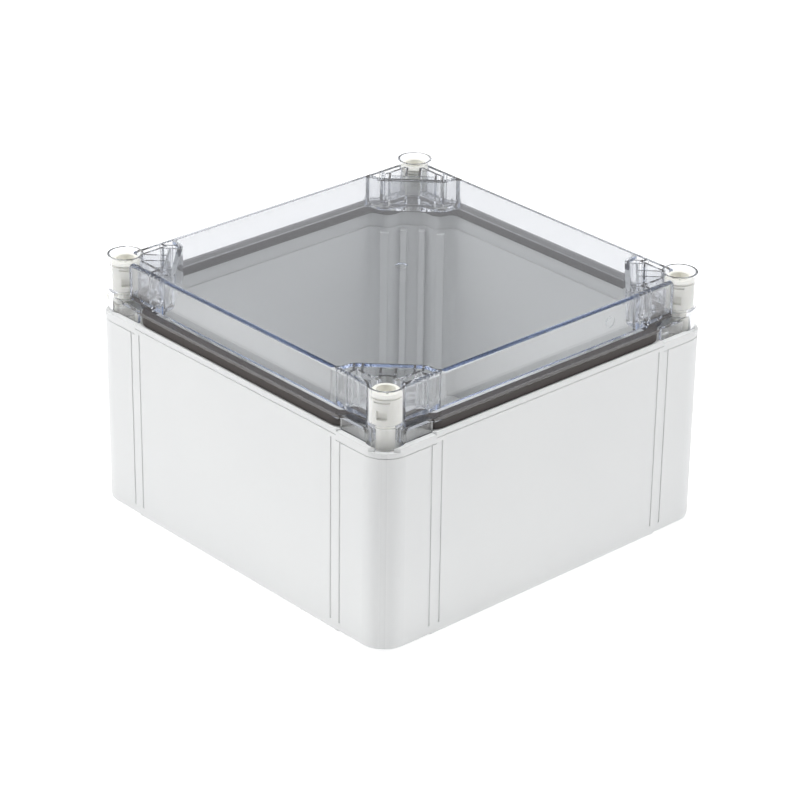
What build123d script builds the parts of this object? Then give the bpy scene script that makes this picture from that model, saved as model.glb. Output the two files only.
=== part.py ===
# Square polycarbonate enclosure: a deep grey base, a clear domed lid with a foam seal, two quarter-turn
# lock screws in the front corner tubes and two jointed hinge screws in the rear ones.
# Millimetres. Origin at the middle of the underside, +Z up, front at -Y, hinge at +Y.
import os
from math import sqrt

from build123d import *

# Overall size
width = 280.0
depth = 280.0
height = 176.0
lid_height = 35.5
corner_radius = 18.0
screw_inset = 15.0

# Base shell
floor_thickness = 4.0
bottom_round = 5.0
foot_recess = 3.0
corner_zone = 27.5
channel_wall = 4.0
partition = 3.5
ledge_drop = 11.0
ledge_step = 1.0
lip_rise = 0.2
lip_thickness = 1.5
seal_recess = 0.7
zone_rim_drop = 1.5
notch_drop = 4.0
notch_reach = 10.9
notch_clearance = 0.5

# Base details
groove_width = 1.3
groove_depth = 0.5
groove_bottom = 9.0
groove_top_drop = 6.5
groove_near = 23.0
groove_far = 31.25
line_drop = 3.7
corner_line_drop = 7.5
line_width = 0.6
line_depth = 0.4
nub_length = 7.0
nub_width = 5.0
nub_back = 16.3
nub_inset = 4.0
corner_rib_width = 4.4
corner_rib_proud = 4.5
corner_rib_drop = 2.5
pier_width = 5.5
pier_proud = 1.0
boss_back = 26.0
boss_diameter = 12.0
boss_height = 10.0
pilot_diameter = 4.2
pilot_depth = 9.0
fixing_diameter = 6.5

# Seal line, measured from each screw axis
seal_out = 9.0
seal_in = 3.5
seal_bend = 15.5
jog_start = 31.0
jog_end = 27.0
seal_radius = 7.0
seal_inner = 2.5
seal_outer = 3.6
seal_height = 6.4
seal_gap = 0.3
seal_slope = 58.0

# Lid
lid_wall = 3.0
lid_top_drop = 2.5
dome_out = 5.0
flange_thickness = 2.5
flange_inset = 2.0
deck_thickness = 2.5
apron_thickness = 2.0
apron_drop = 6.8
apron_clearance = 0.5
pocket_back = 38.0
pocket_diagonal = 31.5
pocket_radius = 7.5
cell_wall = 2.0
cell_in = 3.5
cell_back = 30.0
cell_rib_thickness = 1.5
cell_rib_near = 15.6
cell_rib_far = 20.7
cell_rib_start = 14.0
web_thickness = 1.5
web_gap = 9.0
web_back = 26.0
web_span = 28.6
top_edge_round = 2.5
tube_radius = 11.7
tube_bore = 10.2
tube_seal_clearance = 3.5
skirt_bore = 8.8
seat_rise = 4.0
seat_thickness = 2.2
gate_radius = 4.0
gate_depth = 0.5
ring_radius = 4.0
ring_width = 0.7
ring_depth = 0.4
ring_back = 66.0
ring_drop = 12.0

# Screws
head_clearance = 0.4
head_top_drop = 3.5
head_shoulder = 1.5
seat_clearance = 0.3
shank_radius = 5.8
shank_clearance = 0.8
dish_radius = 6.0
dish_depth = 4.0
drive_width = 1.8
drive_length = 9.0
drive_depth = 2.0
slit_drop = 2.0
slit_height = 0.8
slit_depth = 1.0
mark_drop = 4.1
mark_length = 9.0
window_size = 6.0
window_depth = 2.5
window_rise = 3.3
lock_head_turn = 34.0
hinge_head_turn = 55.0

# Bayonet keeper in the base corners
keeper_drop = 16.5
keeper_thickness = 4.0
keeper_reach = 13.0
keyhole_radius = 7.4
keyhole_slot = 7.5
lug_length = 18.4
lug_width = 5.0
lug_height = 5.0
lug_gap = 0.6
slot_end_gap = 1.6

# Hinge in the rear corners
hinge_out = 12.0
hinge_rise = 2.0
eye_radius = 3.0
pin_radius = 1.5
pin_fit = 0.05
tongue_thickness = 4.0
fork_gap = 0.3
fork_thickness = 2.5
arm_height = 4.0
arm_root = 3.0
neck_gap = 1.6
fork_clearance = 0.4
collar_radius = 9.5
collar_height = 2.0
hinge_window = 13.0

# Places that follow from the sizes above
half_x = width / 2
half_y = depth / 2
screw_x = half_x - screw_inset
screw_y = half_y - screw_inset
rim_height = height - lid_height
notch_height = rim_height - notch_drop
ledge_height = rim_height - ledge_drop
keeper_height = rim_height - keeper_drop
hinge_height = rim_height + hinge_rise
lid_top = height - lid_top_drop
seal_bottom = rim_height - seal_recess + seal_gap
flange_bottom = seal_bottom + seal_height
flange_top = flange_bottom + flange_thickness
deck_top = flange_top + deck_thickness
seat_height = flange_top + seat_rise
head_radius = tube_bore - head_clearance
head_bottom = seat_height + seat_clearance
head_top = height - head_top_drop
shank_top = hinge_height - neck_gap / 2
neck_bottom = hinge_height + neck_gap / 2
lug_top = keeper_height - lug_gap
fork_width = tongue_thickness + 2 * (fork_gap + fork_thickness)
corners = [(1, 1), (-1, 1), (-1, -1), (1, -1)]


def plan(grow=0.0):
    """Outer rounded outline, grown or shrunk."""
    return RectangleRounded(width + 2 * grow, depth + 2 * grow, corner_radius + grow)


def between(sketch, bottom, top):
    """Straight body of a plan outline between two heights."""
    return Pos(0, 0, bottom) * extrude(sketch, top - bottom)


def at_corner(shape, sx, sy):
    """Copy of a rear right corner feature, drawn about the screw axis, for one corner."""
    if sx < 0:
        shape = mirror(shape, about=Plane.YZ)
    if sy < 0:
        shape = mirror(shape, about=Plane.XZ)
    return Pos(sx * screw_x, sy * screw_y) * shape


def at_corners(shape):
    """One sketch that repeats a corner feature at all four corners."""
    return Sketch() + [at_corner(shape, sx, sy) for sx, sy in corners]


def corner_loop(points, radius):
    """Closed outline whose four corners repeat one run of points about the screw axis."""
    loop = []
    for sx, sy in corners:
        run = [(sx * (screw_x + u), sy * (screw_y + v)) for u, v in points]
        loop += run if sx * sy > 0 else run[::-1]
    return make_face(FilletPolyline(*loop, radius=radius, close=True))


def corner_area(u0, u1, v0, v1):
    """Rectangle about the screw axis, +u and +v pointing out of the box."""
    return Pos((u0 + u1) / 2, (v0 + v1) / 2) * Rectangle(u1 - u0, v1 - v0)


def diagonal_bar(side, thickness, start, end):
    """Bar along the corner diagonal, from start to end inward of the screw axis."""
    return Rot(0, 0, 45) * Pos(-(start + end) / 2, side) * Rectangle(end - start, thickness)


seal_run = [(seal_out, -jog_start), (-seal_in, -jog_end), (-seal_in, -seal_bend)]
seal_line = corner_loop(seal_run + [(v, u) for u, v in reversed(seal_run)], seal_radius)


def seal(grow):
    """Area inside the seal line, grown outward or shrunk inward."""
    return offset(seal_line, amount=grow)


def make_base():
    body = between(plan(), 0, rim_height + lip_rise)
    body = fillet(body.faces().sort_by(Axis.Z)[0].edges(), bottom_round)
    body -= between(plan(-lip_thickness), rim_height - seal_recess, height)
    body -= between(seal_line, floor_thickness, ledge_height)
    body -= between(seal(ledge_step), ledge_height, height)
    # corner channels, outside the seal line
    channels = plan(-channel_wall) - seal(partition)
    zones = at_corners(corner_area(-corner_zone, screw_inset, -corner_zone, screw_inset))
    notch = Circle(tube_radius + notch_clearance)
    notch += diagonal_bar(0, 2 * screw_inset, -2 * screw_inset, -notch_reach)
    body -= between(channels, floor_thickness + foot_recess, height)
    body -= between(zones - seal(partition), rim_height - zone_rim_drop, height)
    body -= between(at_corners(notch) - seal(partition), notch_height, height)
    body -= between(zones, 0, foot_recess)
    # bayonet keepers
    keepers = at_corners(corner_area(-keeper_reach, screw_inset, -keeper_reach, screw_inset))
    keyhole = Circle(keyhole_radius) + Rectangle(keyhole_slot, lug_length + 2 * slot_end_gap)
    plates = (keepers & channels) - at_corners(keyhole)
    body += between(plates, keeper_height, keeper_height + keeper_thickness)
    # ribs at the ends of the diagonal flats, and piers on the bends beside them
    rib_side = (seal_bend - seal_in) / sqrt(2) - corner_rib_width / 2
    rib_root = (seal_bend + seal_in) / sqrt(2)
    rib = diagonal_bar(rib_side, corner_rib_width, rib_root - partition / 2, rib_root + corner_rib_proud)
    pier_side = (jog_end - seal_in) / sqrt(2) + pier_width / 2
    pier_root = (jog_end + seal_in) / sqrt(2)
    rib += diagonal_bar(pier_side, pier_width, pier_root - partition, pier_root + pier_proud)
    rib += mirror(rib, about=Plane((0, 0, 0), z_dir=(1, -1, 0)))
    body += between(at_corners(rib), floor_thickness, ledge_height - corner_rib_drop)
    # bosses for a mounting plate, wall fixing holes and small feet
    boss_place = Pos(-boss_back, -boss_back)
    boss_top = floor_thickness + boss_height
    body += between(at_corners(boss_place * Circle(boss_diameter / 2)), floor_thickness, boss_top)
    body -= between(at_corners(boss_place * Circle(pilot_diameter / 2)), boss_top - pilot_depth, boss_top)
    body -= between(at_corners(Circle(fixing_diameter / 2)), 0, keeper_height)
    nub = Pos(screw_inset - nub_inset - nub_width / 2, -nub_back) * Rectangle(nub_width, nub_length)
    nub += mirror(nub, about=Plane((0, 0, 0), z_dir=(1, -1, 0)))
    body += between(at_corners(nub), 0, foot_recess + floor_thickness / 2)
    # grooves and the fine line below the rim, lower round the corners
    groove = Sketch()
    for back in (groove_near, groove_far):
        groove += corner_area(screw_inset - groove_depth, screw_inset, -back - groove_width, -back)
        groove += corner_area(-back - groove_width, -back, screw_inset - groove_depth, screw_inset)
    body -= between(at_corners(groove), groove_bottom, rim_height - groove_top_drop)
    skin = plan() - plan(-line_depth)
    for ring, drop in ((skin - zones, line_drop), (skin & zones, corner_line_drop)):
        body -= between(ring, rim_height - drop, rim_height - drop + line_width)
    return body


def make_gasket():
    return between(seal(seal_outer) - seal(-seal_inner), seal_bottom, flange_bottom)


def make_lid():
    shoulder = pocket_diagonal * sqrt(2) - pocket_back
    dome_run = [(dome_out, -pocket_back), (-shoulder, -pocket_back)]
    dome = corner_loop(dome_run + [(v, u) for u, v in reversed(dome_run)], pocket_radius)
    zones = at_corners(corner_area(-corner_zone, screw_inset, -corner_zone, screw_inset))
    corner_edge = RectangleRounded(2 * (screw_x + tube_radius), 2 * (screw_y + tube_radius), tube_radius)
    flange = corner_edge + (plan(-flange_inset) - zones)
    window = corner_area(-hinge_window / 2, hinge_window / 2, arm_root, screw_inset)
    hinge_openings = at_corner(window, 1, 1) + at_corner(window, -1, 1)
    rear = Pos(0, screw_y + tube_radius) * Rectangle(width, 2 * apron_thickness)
    apron_back = corner_zone - apron_clearance
    apron = at_corners(corner_area(-apron_back, screw_inset, -apron_back, screw_inset)) & corner_edge
    apron -= offset(corner_edge, amount=-apron_thickness) + rear + hinge_openings
    # dome over the flange, closed on top
    body = between(Rectangle(2 * (screw_x + dome_out), 2 * (screw_y + dome_out)), flange_bottom, lid_top)
    body = fillet(body.edges().group_by(Axis.Z)[-1], top_edge_round)
    body += between(flange, flange_bottom, flange_top)
    body += between(apron, flange_bottom - apron_drop, flange_bottom)
    body -= between(offset(dome, amount=-lid_wall), flange_bottom, lid_top - lid_wall)
    body -= Pos(0, 0, flange_bottom) * extrude(seal(-seal_inner), flange_thickness, taper=seal_slope)
    # open corner pockets with their cell walls and webs
    side = dome_out - lid_wall
    cell_edge = -cell_in - cell_wall / 2
    cell = corner_area(cell_edge, side, -cell_back - cell_wall / 2, 0)
    cell -= corner_area(cell_edge + cell_wall, side, -cell_back + cell_wall / 2, 0)
    for back in (cell_rib_near, cell_rib_far):
        rib = diagonal_bar(-back, cell_rib_thickness, cell_rib_start, pocket_diagonal)
        cell += rib - corner_area(cell_edge, side, -cell_back, 0)
    cell += mirror(cell, about=Plane((0, 0, 0), z_dir=(1, -1, 0)))
    web = diagonal_bar(0, web_span, web_back, web_back + web_thickness)
    for shift in (web_gap / 2, -web_gap / 2):
        web += diagonal_bar(shift, web_thickness, 0, web_back)
    inside = Rectangle(2 * (screw_x + side), 2 * (screw_y + side))
    tubes = at_corners(Circle(tube_radius))
    pockets = inside - dome - at_corners(cell) - at_corners(web) - tubes
    body -= between(pockets, deck_top, height)
    body += between(tubes, flange_top, height)
    body -= between(at_corners(Circle(tube_bore)), seat_height, height)
    # tube ends below the flange, open towards the seal and round the hinge arms
    skirt = at_corners(Circle(tube_radius) - Circle(skirt_bore)) - seal(partition + tube_seal_clearance)
    skirt -= hinge_openings
    body += between(skirt, notch_height + notch_clearance, flange_bottom)
    body -= between(at_corners(Circle(skirt_bore)), flange_bottom, seat_height - seat_thickness)
    body -= between(at_corners(Circle(shank_radius + shank_clearance)), flange_bottom, seat_height)
    # gate mark on top and the ring of a mould insert inside the front wall
    body -= between(Circle(gate_radius), lid_top - gate_depth, lid_top)
    ring = Circle(ring_radius) - Circle(ring_radius - ring_width)
    ring = Pos(screw_x - ring_back, lid_top - ring_drop) * ring
    body -= extrude(Plane.XZ.offset(screw_y + side) * ring, ring_depth)
    return body


def screw_head():
    """Round head with a dished top, a blade slot, slits and two square windows."""
    head = between(Circle(head_radius), head_bottom, head_top)
    head = chamfer(head.edges().group_by(Axis.Z)[-1], head_shoulder)
    head -= between(Circle(dish_radius), head_top - dish_depth, head_top)
    head -= between(Rectangle(drive_length, drive_width), head_top - dish_depth - drive_depth, head_top)
    slit_top = head_top - slit_drop
    slit = Circle(head_radius) - Circle(head_radius - slit_depth)
    head -= between(slit, slit_top - slit_height, slit_top)
    mark_top = head_top - mark_drop
    mark = slit & Rectangle(2 * head_radius, mark_length)
    head -= between(mark, mark_top - slit_height, mark_top)
    for turn in (0, 180):
        place = Rot(0, 0, turn) * Pos(head_radius - window_depth / 2, 0)
        window = place * Rectangle(window_depth, window_size)
        head -= between(window, head_bottom + window_rise, head_bottom + window_rise + window_size)
    return head


def bayonet(turn):
    """Cross lug that passes the keyhole and turns under the keeper plate."""
    lug = Rectangle(lug_width, lug_length) & Circle(lug_length / 2)
    return between(Rot(0, 0, turn) * lug, lug_top - lug_height, lug_top)


def make_lock_screw():
    shank = between(Circle(shank_radius), lug_top - lug_height, head_bottom)
    return Rot(0, 0, lock_head_turn) * screw_head() + shank + bayonet(0)


def hinge_plate(thickness, side, root_bottom, root_top):
    """Plate across the hinge axis: a round eye with an arm that runs forward to its root."""
    root = Polyline((arm_root, root_bottom), (arm_root, root_top))
    eye = Pos(hinge_out, hinge_height) * Circle(eye_radius)
    profile = make_hull([*root.edges(), *eye.edges()])
    profile -= Pos(hinge_out, hinge_height) * Circle(pin_radius + pin_fit)
    plate = extrude(Plane.YZ * profile, thickness / 2, both=True)
    return Pos(side, 0, 0) * plate


def make_hinge_head():
    neck = between(Circle(shank_radius), neck_bottom, head_bottom)
    body = Rot(0, 0, hinge_head_turn) * screw_head() + neck
    fork_side = (tongue_thickness + fork_thickness) / 2 + fork_gap
    for side in (fork_side, -fork_side):
        body += hinge_plate(fork_thickness, side, neck_bottom, flange_bottom - fork_clearance)
    return body


def make_hinge_shank():
    collar_bottom = keeper_height + keeper_thickness
    body = between(Circle(shank_radius), lug_top - lug_height, shank_top)
    body += between(Circle(collar_radius), collar_bottom, collar_bottom + collar_height)
    body += hinge_plate(tongue_thickness, 0, shank_top - arm_height, shank_top)
    return body + bayonet(90)


def make_hinge_pin():
    pin = Cylinder(pin_radius, fork_width, rotation=(0, 90, 0))
    return Pos(0, hinge_out, hinge_height) * pin


def corner_screw(shape, sx, sy):
    return Pos(sx * screw_x, sy * screw_y) * shape


parts = {
    "base_shell": make_base(),
    "gasket": make_gasket(),
    "lid_shell": make_lid(),
}
for side_name, sx in (("left", -1), ("right", 1)):
    parts[f"lock_screw_{side_name}"] = corner_screw(make_lock_screw(), sx, -1)
    parts[f"hinge_head_{side_name}"] = corner_screw(make_hinge_head(), sx, 1)
    parts[f"hinge_shank_{side_name}"] = corner_screw(make_hinge_shank(), sx, 1)
    parts[f"hinge_pin_{side_name}"] = corner_screw(make_hinge_pin(), sx, 1)

os.makedirs("parts", exist_ok=True)
for name, shape in parts.items():
    export_step(shape, f"parts/{name}.step")
    print(name, len(shape.solids()), round(shape.volume))
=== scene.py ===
import math

import bpy
from mathutils import Matrix, Vector


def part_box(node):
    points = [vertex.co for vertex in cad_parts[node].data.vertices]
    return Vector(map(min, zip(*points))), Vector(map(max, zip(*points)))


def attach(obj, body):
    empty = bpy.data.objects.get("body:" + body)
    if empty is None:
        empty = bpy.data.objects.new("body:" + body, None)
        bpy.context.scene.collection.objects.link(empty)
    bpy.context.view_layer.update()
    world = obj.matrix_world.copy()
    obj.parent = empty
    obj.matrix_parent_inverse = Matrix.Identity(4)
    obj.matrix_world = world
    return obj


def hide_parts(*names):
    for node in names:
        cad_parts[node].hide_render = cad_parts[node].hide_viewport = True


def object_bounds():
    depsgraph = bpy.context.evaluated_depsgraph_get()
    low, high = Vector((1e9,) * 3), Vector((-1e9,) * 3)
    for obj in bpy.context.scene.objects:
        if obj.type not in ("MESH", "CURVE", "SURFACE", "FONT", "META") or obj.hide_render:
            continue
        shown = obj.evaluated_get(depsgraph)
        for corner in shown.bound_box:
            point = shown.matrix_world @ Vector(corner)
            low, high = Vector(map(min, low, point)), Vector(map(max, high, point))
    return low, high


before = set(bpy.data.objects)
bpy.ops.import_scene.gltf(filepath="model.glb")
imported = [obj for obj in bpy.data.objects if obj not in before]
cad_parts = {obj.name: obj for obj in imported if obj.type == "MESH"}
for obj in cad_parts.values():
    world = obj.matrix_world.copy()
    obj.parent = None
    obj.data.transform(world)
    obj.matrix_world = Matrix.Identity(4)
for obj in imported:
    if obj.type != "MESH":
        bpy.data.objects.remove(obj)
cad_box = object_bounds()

# Base shell: one deep injection moulding in light grey polycarbonate. The outside has a fine satin
# skin from the spark-eroded mould, and the inside is smoother, off the polished core. It stands on
# the raised middle of its underside.
grey_skin = (0.79, 0.80, 0.80, 1)
grey_flow = (0.77, 0.78, 0.785, 1)
flow_marks_per_metre = 9
sparks_per_metre = 1600
spark_depth = 0.00004
spark_strength = 0.5
skin_depth = 0.004
core_reach = cad_box[1][0] - skin_depth
core_roughness = (0.2, 0.26)
skin_roughness = (0.42, 0.52)
base_edge = 0.0005
edge_samples = 6
polycarbonate_ior = 1.585
noise_low = 0.3
noise_high = 0.7


def new_finish(name):
    """Empty node material with its Principled shader and Object coordinates."""
    finish = bpy.data.materials.new(name)
    finish.use_nodes = True
    tree = finish.node_tree
    coords = tree.nodes.new("ShaderNodeTexCoord")
    return finish, tree, tree.nodes["Principled BSDF"], coords.outputs["Object"]


def add_noise(tree, coords, grains_per_metre, detail):
    """Noise node over the piece, at a given number of grains per metre."""
    noise = tree.nodes.new("ShaderNodeTexNoise")
    noise.inputs["Scale"].default_value = grains_per_metre
    noise.inputs["Detail"].default_value = detail
    tree.links.new(coords, noise.inputs["Vector"])
    return noise.outputs["Fac"]


def add_blend(tree, driver, low, high, socket):
    """Colour ramp from low to high over the middle of a noise."""
    ramp = tree.nodes.new("ShaderNodeValToRGB")
    ramp.color_ramp.elements[0].position = noise_low
    ramp.color_ramp.elements[1].position = noise_high
    ramp.color_ramp.elements[0].color = low
    ramp.color_ramp.elements[1].color = high
    tree.links.new(driver, ramp.inputs["Fac"])
    tree.links.new(ramp.outputs["Color"], socket)


def add_range(tree, driver, low, high, socket):
    """Noise, or a switch of nought or one, stretched to a range of values."""
    stretch = tree.nodes.new("ShaderNodeMapRange")
    stretch.inputs["From Min"].default_value = noise_low
    stretch.inputs["From Max"].default_value = noise_high
    stretch.inputs["To Min"].default_value = low
    stretch.inputs["To Max"].default_value = high
    tree.links.new(driver, stretch.inputs["Value"])
    tree.links.new(stretch.outputs["Result"], socket)


def add_bump(tree, driver, height, strength, edge_radius, shader):
    """Fine surface relief of a given height in metres, on edges softened to a given radius."""
    edge = tree.nodes.new("ShaderNodeBevel")
    edge.samples = edge_samples
    edge.inputs["Radius"].default_value = edge_radius
    bump = tree.nodes.new("ShaderNodeBump")
    bump.inputs["Strength"].default_value = strength
    bump.inputs["Distance"].default_value = height
    tree.links.new(edge.outputs["Normal"], bump.inputs["Normal"])
    tree.links.new(driver, bump.inputs["Height"])
    tree.links.new(bump.outputs["Normal"], shader.inputs["Normal"])


def add_maths(tree, operation, *values):
    """Math node on values that are either numbers or sockets."""
    maths = tree.nodes.new("ShaderNodeMath")
    maths.operation = operation
    for value, socket in zip(values, maths.inputs):
        if isinstance(value, (int, float)):
            socket.default_value = value
        else:
            tree.links.new(value, socket)
    return maths.outputs["Value"]


def farther_out(tree, coords, reach):
    """One farther from the middle planes than the given reach, and nought within it."""
    place = tree.nodes.new("ShaderNodeSeparateXYZ")
    tree.links.new(coords, place.inputs["Vector"])
    sideways = add_maths(tree, "ABSOLUTE", place.outputs["X"])
    lengthways = add_maths(tree, "ABSOLUTE", place.outputs["Y"])
    return add_maths(tree, "GREATER_THAN", add_maths(tree, "MAXIMUM", sideways, lengthways), reach)


def moulded_grey():
    """Grey polycarbonate, satin on the outer skin and smoother within."""
    finish, tree, shader, coords = new_finish("satin_grey_moulding")
    flow = add_noise(tree, coords, flow_marks_per_metre, 2)
    add_blend(tree, flow, grey_skin, grey_flow, shader.inputs["Base Color"])
    sparks = add_noise(tree, coords, sparks_per_metre, 3)
    outside = tree.nodes.new("ShaderNodeMix")
    tree.links.new(farther_out(tree, coords, core_reach), outside.inputs["Factor"])
    add_range(tree, sparks, *core_roughness, outside.inputs["A"])
    add_range(tree, sparks, *skin_roughness, outside.inputs["B"])
    tree.links.new(outside.outputs["Result"], shader.inputs["Roughness"])
    add_bump(tree, sparks, spark_depth, spark_strength, base_edge, shader)
    shader.inputs["IOR"].default_value = polycarbonate_ior
    return finish


def dress(node, finish):
    """Give a piece its finish."""
    piece = bpy.data.objects[node]
    piece.data.materials.clear()
    piece.data.materials.append(finish)


dress("base_shell", moulded_grey())

# Seal: a square cord of dark foamed polyurethane, poured into the lid and set there as one ring
# that follows the steps of the corner channels. It is bonded to the flange, which therefore
# shows it as dark from above.
foam_dark = (0.055, 0.048, 0.045, 1)
foam_pale = (0.085, 0.076, 0.072, 1)
cells_per_metre = 2200
cell_depth = 0.0002
cell_strength = 0.6
foam_roughness = (0.75, 0.9)
foam_edge = 0.0003
seal_round = 0.0012
round_steps = 3
seal_bond = 0.0002
merge_gap = 0.00001
level_slack = 0.0001
flat_angle = math.radians(1)
smooth_angle = math.radians(35)


def foamed_seal():
    """Dark foam with a fine open-celled skin."""
    finish, tree, shader, coords = new_finish("dark_foam")
    cells = add_noise(tree, coords, cells_per_metre, 4)
    add_blend(tree, cells, foam_dark, foam_pale, shader.inputs["Base Color"])
    add_range(tree, cells, *foam_roughness, shader.inputs["Roughness"])
    add_bump(tree, cells, cell_depth, cell_strength, foam_edge, shader)
    return finish


seal_low, seal_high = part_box("gasket")
bpy.ops.object.select_all(action="DESELECT")
bpy.data.objects["gasket"].select_set(True)
bpy.context.view_layer.objects.active = bpy.data.objects["gasket"]
bpy.ops.object.duplicate()
seal_cord = bpy.context.object
seal_cord.name = "seal_cord"
bpy.ops.object.mode_set(mode="EDIT")
bpy.ops.mesh.select_all(action="SELECT")
bpy.ops.mesh.remove_doubles(threshold=merge_gap)
bpy.ops.mesh.dissolve_limited(angle_limit=flat_angle)
bpy.ops.mesh.select_all(action="DESELECT")
bpy.ops.object.mode_set(mode="OBJECT")
# lower edges rounded, as foam sets
for edge in seal_cord.data.edges:
    ends = [seal_cord.data.vertices[v].co.z for v in edge.vertices]
    edge.select = max(ends) < seal_low.z + level_slack
bpy.ops.object.mode_set(mode="EDIT")
bpy.ops.mesh.bevel(offset=seal_round, segments=round_steps, affect="EDGES")
bpy.ops.mesh.select_all(action="DESELECT")
bpy.ops.object.mode_set(mode="OBJECT")
# top face sunk a little into the flange, where it is bonded
for vertex in seal_cord.data.vertices:
    vertex.select = vertex.co.z > seal_high.z - level_slack
bpy.ops.object.mode_set(mode="EDIT")
bpy.ops.transform.translate(value=(0, 0, seal_bond))
bpy.ops.object.mode_set(mode="OBJECT")
bpy.ops.object.shade_smooth_by_angle(angle=smooth_angle)
dress("seal_cord", foamed_seal())
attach(seal_cord, "lid")
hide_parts("gasket")

# Lid: one clear polycarbonate moulding with a polished dome, open pockets in its corners and a
# tube for each screw. The thick sections look faintly blue.
lid_tint = (0.862, 0.867, 0.878, 1)
lamp_tint = (0.995, 0.995, 0.995, 1)
thick_blue = (0.79, 0.85, 0.96, 1)
blue_per_metre = 10.0
haze_per_metre = 30
haze_roughness = (0.0, 0.03)
lid_bounces = 200


def either_ray(tree, *rays):
    """One for a ray of any of the given kinds, and nought for the others."""
    path = tree.nodes.new("ShaderNodeLightPath")
    found = path.outputs[rays[0]]
    for ray in rays[1:]:
        found = add_maths(tree, "MAXIMUM", found, path.outputs[ray])
    return found


def clear_moulding():
    """Clear polycarbonate that bends what is seen through it and lets the lamps in."""
    finish, tree, shader, coords = new_finish("clear_polycarbonate")
    shader.inputs["Base Color"].default_value = lid_tint
    shader.inputs["Transmission Weight"].default_value = 1.0
    shader.inputs["IOR"].default_value = polycarbonate_ior
    haze = add_noise(tree, coords, haze_per_metre, 2)
    add_range(tree, haze, *haze_roughness, shader.inputs["Roughness"])
    lamp_side = tree.nodes.new("ShaderNodeBsdfTransparent")
    lamp_side.inputs["Color"].default_value = lamp_tint
    mix = tree.nodes.new("ShaderNodeMixShader")
    tree.links.new(either_ray(tree, "Is Shadow Ray", "Is Diffuse Ray"), mix.inputs["Fac"])
    tree.links.new(shader.outputs["BSDF"], mix.inputs[1])
    tree.links.new(lamp_side.outputs["BSDF"], mix.inputs[2])
    output = tree.nodes["Material Output"]
    tree.links.new(mix.outputs["Shader"], output.inputs["Surface"])
    depth_tint = tree.nodes.new("ShaderNodeVolumeAbsorption")
    depth_tint.inputs["Color"].default_value = thick_blue
    depth_tint.inputs["Density"].default_value = blue_per_metre
    tree.links.new(depth_tint.outputs["Volume"], output.inputs["Volume"])
    return finish


dress("lid_shell", clear_moulding())
# light runs the length of the top plate, which is what makes its edges blue
bpy.context.scene.cycles.max_bounces = lid_bounces
bpy.context.scene.cycles.glossy_bounces = lid_bounces
bpy.context.scene.cycles.transmission_bounces = lid_bounces
bpy.context.scene.cycles.transparent_max_bounces = lid_bounces

# Screws: warm white polyamide mouldings. The two in front are quarter-turn locks, and the two
# behind are split at a steel pin, so that the lid swings on them.
nylon_white = (0.87, 0.865, 0.81, 1)
nylon_warm = (0.84, 0.83, 0.775, 1)
warm_patches_per_metre = 60
grains_per_metre = 2500
grain_depth = 0.00003
grain_strength = 0.4
nylon_roughness = (0.4, 0.5)
nylon_edge = 0.0003
nylon_glow = 0.06
glow_depth = (0.002, 0.0018, 0.0014)


def moulded_nylon():
    """Warm white polyamide that lets a little light into its surface."""
    finish, tree, shader, coords = new_finish("warm_white_nylon")
    patches = add_noise(tree, coords, warm_patches_per_metre, 2)
    add_blend(tree, patches, nylon_white, nylon_warm, shader.inputs["Base Color"])
    grain = add_noise(tree, coords, grains_per_metre, 2)
    add_range(tree, grain, *nylon_roughness, shader.inputs["Roughness"])
    add_bump(tree, grain, grain_depth, grain_strength, nylon_edge, shader)
    shader.inputs["Subsurface Weight"].default_value = nylon_glow
    shader.inputs["Subsurface Radius"].default_value = glow_depth
    shader.inputs["Subsurface Scale"].default_value = 1.0
    return finish


nylon = moulded_nylon()
for side in ("left", "right"):
    for screw in ("lock_screw", "hinge_head", "hinge_shank"):
        dress(f"{screw}_{side}", nylon)

# Hinge pins: short lengths of drawn steel wire, left bright. Each is pressed through the eyes of
# a rear screw, and the lid swings on the two of them.
steel_dark = (0.5, 0.5, 0.51, 1)
steel_bright = (0.6, 0.6, 0.61, 1)
draw_marks_per_metre = 900
steel_roughness = (0.25, 0.4)


def drawn_steel():
    """Bright steel wire with fine marks of drawing."""
    finish, tree, shader, coords = new_finish("drawn_steel")
    marks = add_noise(tree, coords, draw_marks_per_metre, 2)
    add_blend(tree, marks, steel_dark, steel_bright, shader.inputs["Base Color"])
    add_range(tree, marks, *steel_roughness, shader.inputs["Roughness"])
    shader.inputs["Metallic"].default_value = 1.0
    return finish


steel = drawn_steel()
for side in ("left", "right"):
    dress(f"hinge_pin_{side}", steel)

# Floor: a plain pale sheet that the box stands on and casts its shadow on. The camera, gloss and
# the clear lid see it a little brighter, so that it fades into the white room.
floor_size = 4.0
floor_pale = (0.85, 0.85, 0.85, 1)
floor_roughness = 0.8
floor_fill = 0.3
floor_white = 0.55
bpy.ops.object.select_all(action="DESELECT")
bpy.ops.mesh.primitive_plane_add(size=floor_size, location=(0, 0, 0))
floor = bpy.context.object
floor.name = "studio_floor"
floor_finish, tree, shader, coords = new_finish("pale_floor")
shader.inputs["Base Color"].default_value = floor_pale
shader.inputs["Roughness"].default_value = floor_roughness
shader.inputs["Specular IOR Level"].default_value = 0.0
shader.inputs["Emission Color"].default_value = (1, 1, 1, 1)
seen = either_ray(tree, "Is Camera Ray", "Is Glossy Ray", "Is Transmission Ray")
add_range(tree, seen, floor_fill, floor_white, shader.inputs["Emission Strength"])
floor.data.materials.append(floor_finish)

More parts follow.
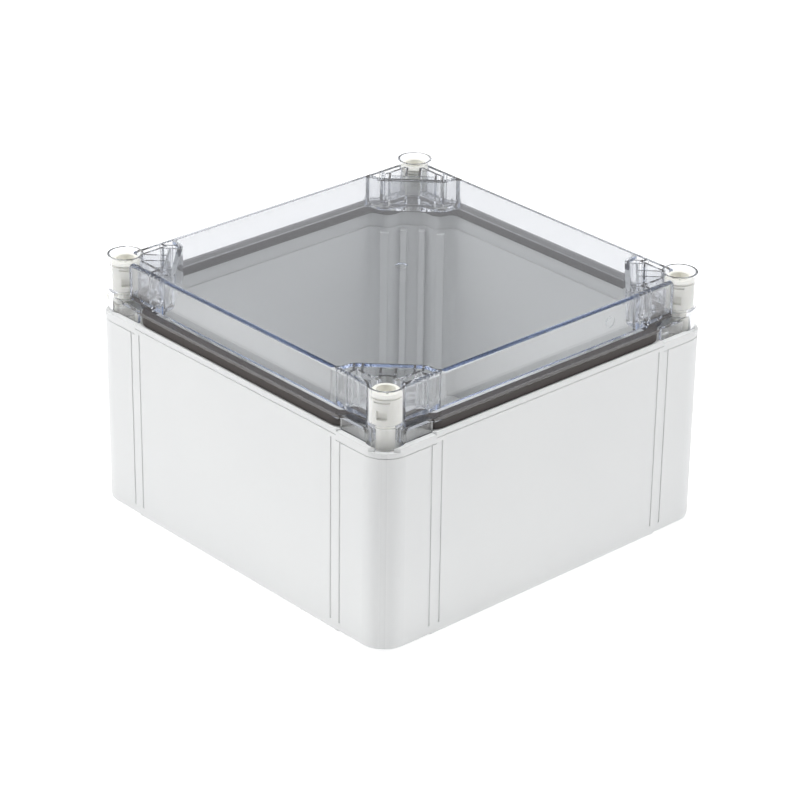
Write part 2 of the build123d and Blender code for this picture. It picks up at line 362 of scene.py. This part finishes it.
# Room: white walls under a cool grey ceiling. The camera, gloss and clear parts see them as they
# are, and the light that falls on the box is a softer share of it.
wall_white = (1, 1, 1, 1)
wall_top = 0.2
ceiling_edge = 0.55
ceiling_grey = (0.28, 0.3, 0.34, 1)
room_share = 0.16
world = bpy.data.worlds.new("white_room")
bpy.context.scene.world = world
world.use_nodes = True
tree = world.node_tree
tree.nodes.clear()
room_light = tree.nodes.new("ShaderNodeBackground")
room_light.inputs["Color"].default_value = wall_white
room_light.inputs["Strength"].default_value = room_share
room_view = tree.nodes.new("ShaderNodeBackground")
room_view.inputs["Strength"].default_value = 1.0
direction = tree.nodes.new("ShaderNodeTexCoord")
rise = tree.nodes.new("ShaderNodeSeparateXYZ")
tree.links.new(direction.outputs["Generated"], rise.inputs["Vector"])
walls = tree.nodes.new("ShaderNodeValToRGB")
walls.color_ramp.elements[0].position = wall_top
walls.color_ramp.elements[0].color = wall_white
walls.color_ramp.elements[1].position = ceiling_edge
walls.color_ramp.elements[1].color = ceiling_grey
tree.links.new(rise.outputs["Z"], walls.inputs["Fac"])
tree.links.new(walls.outputs["Color"], room_view.inputs["Color"])
mix = tree.nodes.new("ShaderNodeMixShader")
seen = either_ray(tree, "Is Camera Ray", "Is Glossy Ray", "Is Transmission Ray")
tree.links.new(seen, mix.inputs["Fac"])
tree.links.new(room_light.outputs["Background"], mix.inputs[1])
tree.links.new(room_view.outputs["Background"], mix.inputs[2])
out = tree.nodes.new("ShaderNodeOutputWorld")
tree.links.new(mix.outputs["Shader"], out.inputs["Surface"])

# Lamps: a large soft panel on the left, towards the back, a weaker one on the right and one
# overhead that lights the inside. The corner nearest the camera lies between them. The polished
# lid would mirror them as white sheets, so gloss and clear parts show the room without them.
panels = [
    ("left_panel", (-1.5, 1.2, 1.1), 1.5, 20.8),
    ("right_panel", (1.2, -1.5, 1.1), 1.5, 15.2),
    ("top_panel", (0.0, 0.0, 2.2), 1.2, 35.5),
]
lit_point = Vector((0, 0, 0.08))
for name, place, size, power in panels:
    lamp = bpy.data.lights.new(name, "AREA")
    lamp.size = size
    lamp.energy = power
    panel = bpy.data.objects.new(name, lamp)
    bpy.context.scene.collection.objects.link(panel)
    panel.location = place
    aim = lit_point - Vector(place)
    panel.rotation_euler = aim.to_track_quat("-Z", "Y").to_euler()
    panel.visible_camera = False
    panel.visible_glossy = False
    panel.visible_transmission = False

# Camera: a long lens over the left front corner, as the photograph was taken. Its place was
# fitted to the tops of the screw tubes, the grooves of the walls and the edges of the lid.
azimuth = math.radians(-42.3736)
elevation = math.radians(26.4027)
roll = math.radians(0.7761)
eye = Vector((-1.21543, -1.33258, 0.97333))
sensor_millimetres = 36.0
focal_millimetres = 139.2
right = Vector((math.cos(azimuth), math.sin(azimuth), 0))
back = Vector((math.sin(azimuth) * math.cos(elevation),
               -math.cos(azimuth) * math.cos(elevation),
               math.sin(elevation)))
up = back.cross(right)
turned_right = math.cos(roll) * right + math.sin(roll) * up
turned_up = math.cos(roll) * up - math.sin(roll) * right
lens = bpy.data.cameras.new("photo_camera")
lens.sensor_fit = "HORIZONTAL"
lens.sensor_width = sensor_millimetres
lens.lens = focal_millimetres
camera = bpy.data.objects.new("photo_camera", lens)
bpy.context.scene.collection.objects.link(camera)
turn = Matrix((turned_right, turned_up, back)).transposed().to_4x4()
camera.matrix_world = Matrix.Translation(eye) @ turn
bpy.context.scene.camera = camera
bpy.context.scene.view_settings.view_transform = "Standard"
